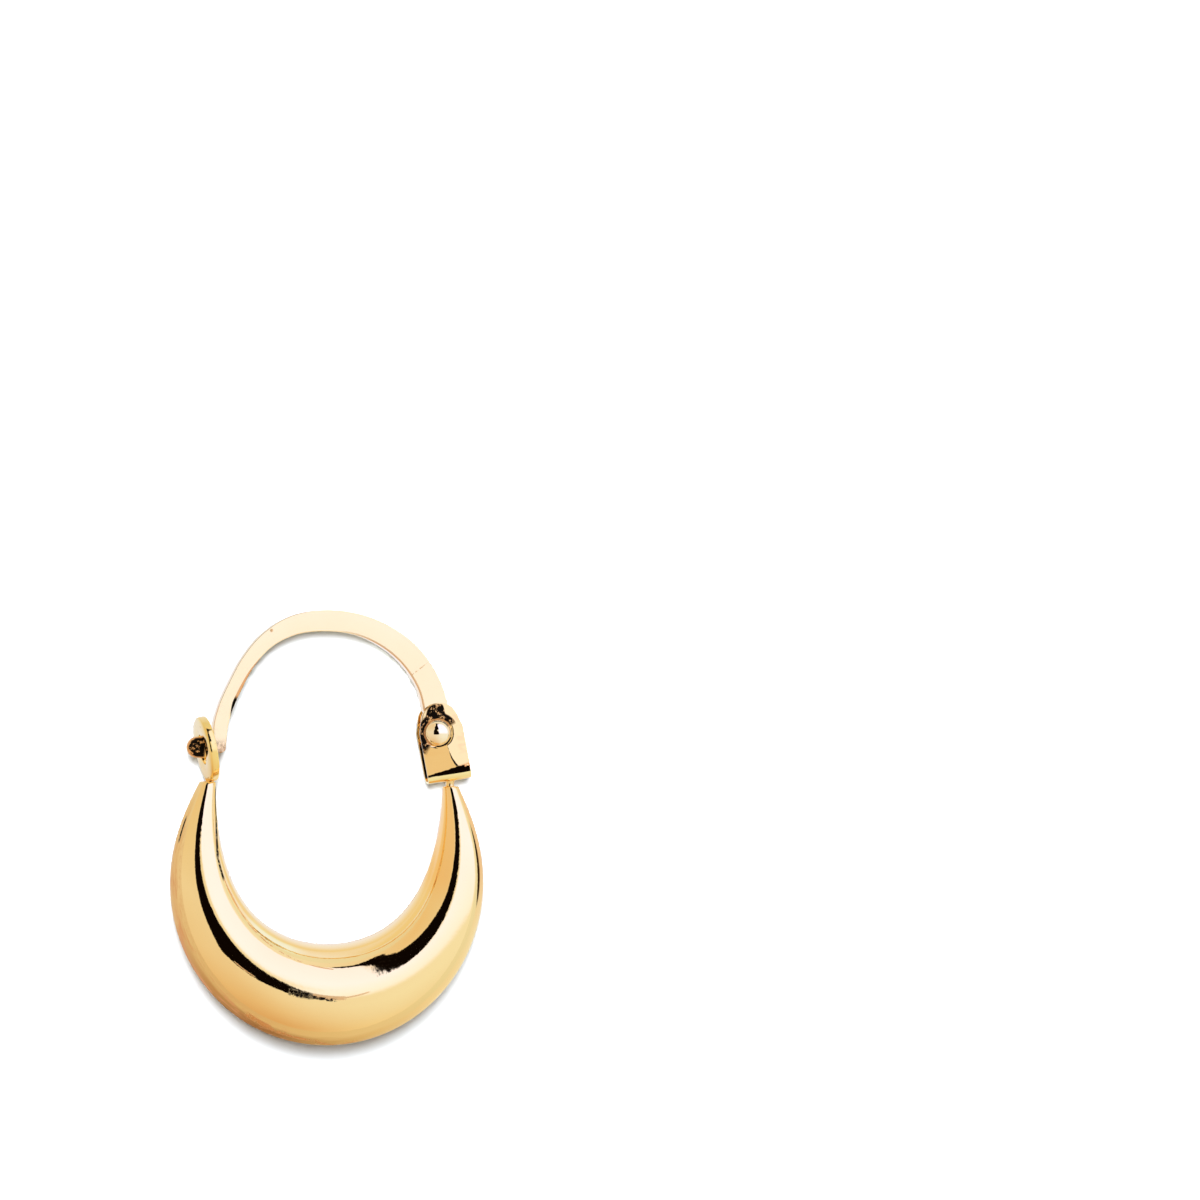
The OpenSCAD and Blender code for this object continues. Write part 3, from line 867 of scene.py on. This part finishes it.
# Table
# A wide sheet of matt white card, which falls away gently beyond the crescent so that the
# ear wire can swing open over it. To mirrored rays it glows with a painted reflection, darker
# and warmer than it is, with painted shadow under the hoop.
table_half = 3.0  # metres, as are all sizes and places on the card
fall_from, fall_to, fall_depth, fall_steps = 0.0038, 0.0158, 0.0015, 48
crescent_middle_y = -0.0023
belly_reach, far_reach = (0.0064, 0.007), (0.012, 0.023)
opening_at, opening_size = (0.0001, 0.0018), (0.0049, 0.0066)  # the lit card inside the hoop
painted_dark_patch_at, painted_dark_patch_size = (0.0145, -0.0004), (0.004, 0.0034)  # a painted dark patch on the right of the card, which only the gold mirrors
card_tone, fibre_tone = (0.81, 0.86, 0.91, 1), (0.85, 0.9, 0.95, 1)
# Tones of painted shade in what the gold mirrors: low on the left, and painted shadow under the
# belly of the hoop.
painted_low_shade_tone, painted_belly_shadow_tone = (0.37, 0.21, 0.15, 1), (0.36, 0.25, 0.13, 1)
painted_dark_patch_tone = (0.02, 0.01, 0.005, 1)
opening_tone, bright_opening_tone = (0.48, 0.42, 0.28, 1), (0.505, 0.52, 0.6, 1)
mirrored_strength = 1.85

card_rows = [(-table_half, 0)]
card_rows += [(fall_from + (fall_to - fall_from) * share, -fall_depth * eased(share))
              for share in np.linspace(0, 1, fall_steps + 1)]
card_rows += [(table_half, -fall_depth)]
table_mesh = bpy.data.meshes.new("table")
table_mesh.from_pydata(
    [(x, y, z) for y, z in card_rows for x in (-table_half, table_half)], [],
    [(2 * j, 2 * j + 1, 2 * j + 3, 2 * j + 2) for j in range(len(card_rows) - 1)])
table_mesh.shade_smooth()
table = bpy.data.objects.new("table", table_mesh)
bpy.context.scene.collection.objects.link(table)

card = bpy.data.materials.new("white_card")
card.use_nodes = True
tree = card.node_tree
tree.nodes.clear()
on_card = Signal.node(tree, "ShaderNodeTexCoord", output="Object")
fibre = noise(tree, on_card, 900.0, 4.0)
card_x, card_y = parts(tree, on_card)[:2]
from_middle = card_y - crescent_middle_y
reach = (card_x * card_x + from_middle * from_middle + 1e-8) ** 0.5  # never quite 0
rightwards, lowness = card_x / reach, 0.5 - 0.5 * from_middle / reach
near_left = ramp(tree, lowness, [
    (0.1, (0.48, 0.5, 0.58)), (0.27, (0.43, 0.36, 0.27)), (0.65, (0.4, 0.3, 0.22)),
    (0.87, (0.27, 0.16, 0.08)), (1, (0.15, 0.065, 0.025))])
near_right = ramp(tree, lowness, [
    (0.08, (0.5, 0.51, 0.54)), (0.25, (0.49, 0.4, 0.33)), (0.45, (0.47, 0.37, 0.3)),
    (0.65, (0.5, 0.49, 0.43)), (0.85, (0.5, 0.44, 0.31)), (1, (0.38, 0.28, 0.14))])
far_left = ramp(tree, lowness, [
    (0, (0.45, 0.42, 0.34)), (0.5, (0.45, 0.4, 0.32)), (0.8, (0.4, 0.33, 0.22)),
    (1, (0.37, 0.27, 0.15))])
far_right = ramp(tree, lowness, [
    (0.5, (0.47, 0.49, 0.46)), (0.8, (0.46, 0.45, 0.37)), (1, (0.43, 0.36, 0.24))])
near = mixed(tree, rightwards.rise(-0.45, 0.45), near_left, near_right)
far = mixed(tree, rightwards.rise(-0.8, 0.6), far_left, far_right)
patches = noise(tree, on_card, 260.0, 2.0)
reflection = mixed(tree, (reach + patches * 0.008).rise(*far_reach), near, far)
# Painted shade in patches low on the left of the mirrored card.
painted_low_shade = noise(tree, on_card, 420.0, 3.0, 0.6).rise(0.5, 0.62) * lowness.rise(0.25, 0.35)
painted_low_shade = painted_low_shade * (1 - rightwards.rise(-0.5, 0.1))
reflection = mixed(tree, painted_low_shade * 0.8, reflection, painted_low_shade_tone)
# Painted shadow under the belly of the hoop, in what the gold mirrors.
reflection = mixed(tree, 1 - reach.rise(*belly_reach), reflection, painted_belly_shadow_tone)


def oval(at, size, soft):
    """1 inside an oval patch of the card."""
    across, along = (card_x - at[0]) / size[0], (card_y - at[1]) / size[1]
    return 1 - (across * across + along * along).rise(1 - soft, 1 + soft)


upper_right = card_x.rise(-0.0003, 0.0022) * card_y.rise(-0.0014, -0.0001)
lower_left = (1 - card_x.rise(-0.0018, -0.0008)) * (1 - card_y.rise(-0.0006, 0.0004))
lowest = 1 - card_y.rise(-0.0034, -0.0008)
in_opening = mixed(tree, upper_right + lower_left + lowest, opening_tone, bright_opening_tone)
reflection = mixed(tree, oval(opening_at, opening_size, soft=0.15), reflection, in_opening)
# A painted dark patch on the right of the card, in what the gold mirrors.
reflection = mixed(tree, oval(painted_dark_patch_at, painted_dark_patch_size, soft=0.3), reflection, painted_dark_patch_tone)
matt = Signal.node(
    tree, "ShaderNodeBsdfDiffuse", {}, {"Color": mixed(tree, fibre, card_tone, fibre_tone)})
# Mirrored rays see the card glow with the painted reflection instead of its lit face.
mirrored = Signal.node(
    tree, "ShaderNodeEmission", {}, {"Color": reflection, "Strength": mirrored_strength})
is_mirrored = Signal.node(tree, "ShaderNodeLightPath", output="Is Glossy Ray")
surface = Signal.node(tree, "ShaderNodeMixShader", {}, {0: is_mirrored, 1: matt, 2: mirrored})
Signal.node(tree, "ShaderNodeOutputMaterial", {}, {"Surface": surface})
table_mesh.materials.append(card)

# Studio
# A pale tent all round, a big soft light on the right, the dark stand of the camera, and two
# lamps that light the card. All but the lamps is painted on the world.
stand_tone = (0.004, 0.002, 0.001, 1)
lamps = [
    # name, where it shines from, strength, width in degrees
    ("key_lamp", Vector((-0.13, 0.38, 1)), 5.4, 19),
    ("lamp_by_the_camera", towards_camera, 0.9, 10)]
world = bpy.data.worlds.new("studio")
bpy.context.scene.world = world
world.use_nodes = True
tree = world.node_tree
tree.nodes.clear()
way = Signal.node(tree, "ShaderNodeTexCoord", output="Generated")


def along_axis(axis):
    """How far the direction goes along an axis, from -1 to 1."""
    return Signal.node(
        tree, "ShaderNodeVectorMath", {"operation": "DOT_PRODUCT"}, {0: way, 1: axis}, "Value")


# The world is painted by direction: two angles in degrees from the line towards the camera,
# to the right and up.
ahead = along_axis(towards_camera)
angle = ahead.maths("ARCCOSINE", ahead) * (180 / math.pi)
angle_over_sine = angle / ((1 - ahead * ahead + 1e-6) ** 0.5)  # of a sine never quite 0
across_deg = along_axis(picture_right) * angle_over_sine
up_deg = along_axis(picture_up) * angle_over_sine
height_share = (up_deg + 90) / 180


def by_height(rows):
    """A colour that changes with the height in degrees."""
    return ramp(tree, height_share, [((up + 90) / 180, colour) for up, colour in rows])


def edge(rows, column):
    """The angle across of one edge of a shape that is given by rows of height, left and right."""
    return by_height([(row[0], ((row[column] + 180) / 360,) * 3) for row in rows]) * 360 - 180


def shape(rows, soft):
    """1 inside a shape that is given by rows of height, left and right, in degrees."""
    left, right = edge(rows, 1), edge(rows, 2)
    return (across_deg - left).rise(-soft, soft) * (1 - (across_deg - right).rise(-soft, soft))


tent_left = by_height([
    (-90, (0.74, 0.48, 0.26)), (-60, (0.82, 0.63, 0.41)), (-30, (0.86, 0.74, 0.57)),
    (5, (0.88, 0.81, 0.68)), (30, (0.85, 0.74, 0.54)), (60, (0.86, 0.68, 0.44)),
    (90, (0.87, 0.78, 0.62))])
tent_right = by_height([
    (-90, (0.9, 0.8, 0.58)), (-60, (0.91, 0.88, 0.76)), (-30, (0.94, 0.96, 0.9)),
    (20, (0.95, 0.97, 0.95)), (60, (0.94, 0.95, 0.95)), (90, (0.93, 0.94, 0.95))])
tent = mixed(tree, across_deg.rise(-30, 55), tent_left, tent_right)
soft_light = up_deg.rise(-13, 0) * shape([
    (-20, 12, 84), (-3, 14, 92), (10, 18, 93), (25, 14, 88), (35, 12, 78), (50, 9, 68),
    (60, 7, 54), (66, 8, 38), (71, 34, 0)], soft=4)
light_tone = by_height([
    (-12, (1.0, 1.08, 1.3)), (2, (1.1, 1.18, 1.62)), (25, (1.12, 1.22, 1.95)),
    (65, (1.1, 1.16, 1.8))])
stand = shape([
    (-15.5, 0, -8), (-14, -20, 16), (-12, -22, 19), (-5, -22, 19), (0, -22, 17), (6, -22, 15),
    (12, -21, 11), (16, -20, 6), (20, -18, 5), (23, -15, 8), (25.5, -16, 17), (30, -14, 16),
    (35, -14, 14), (40, -15, 13), (48, -11, 10), (56, -6, 7), (62, -6, 7), (66, -6, 9),
    (68, -6, 19), (70, -7, 21), (71.5, -8, 8), (74, -8, 3), (76, -4, -12)], soft=0.8)
painted = mixed(tree, stand, mixed(tree, soft_light, tent, light_tone), stand_tone)
is_seen = Signal.node(tree, "ShaderNodeLightPath", output="Is Camera Ray")
sky = Signal.node(tree, "ShaderNodeBackground", {}, {
    "Color": mixed(tree, is_seen, painted, (1, 1, 1, 1)), "Strength": 1.0})
Signal.node(tree, "ShaderNodeOutputWorld", {}, {"Surface": sky})
world.cycles_visibility.diffuse = False  # the lamps alone light the card

for name, lamp_from, strength, wide in lamps:
    lamp_data = bpy.data.lights.new(name, "SUN")
    lamp_data.energy, lamp_data.angle = strength, math.radians(wide)
    lamp = bpy.data.objects.new(name, lamp_data)
    bpy.context.scene.collection.objects.link(lamp)
    lamp.matrix_world = lamp_from.to_track_quat("Z", "Y").to_matrix().to_4x4()
    lamp.visible_glossy = False

bpy.context.scene.view_settings.view_transform = "Standard"
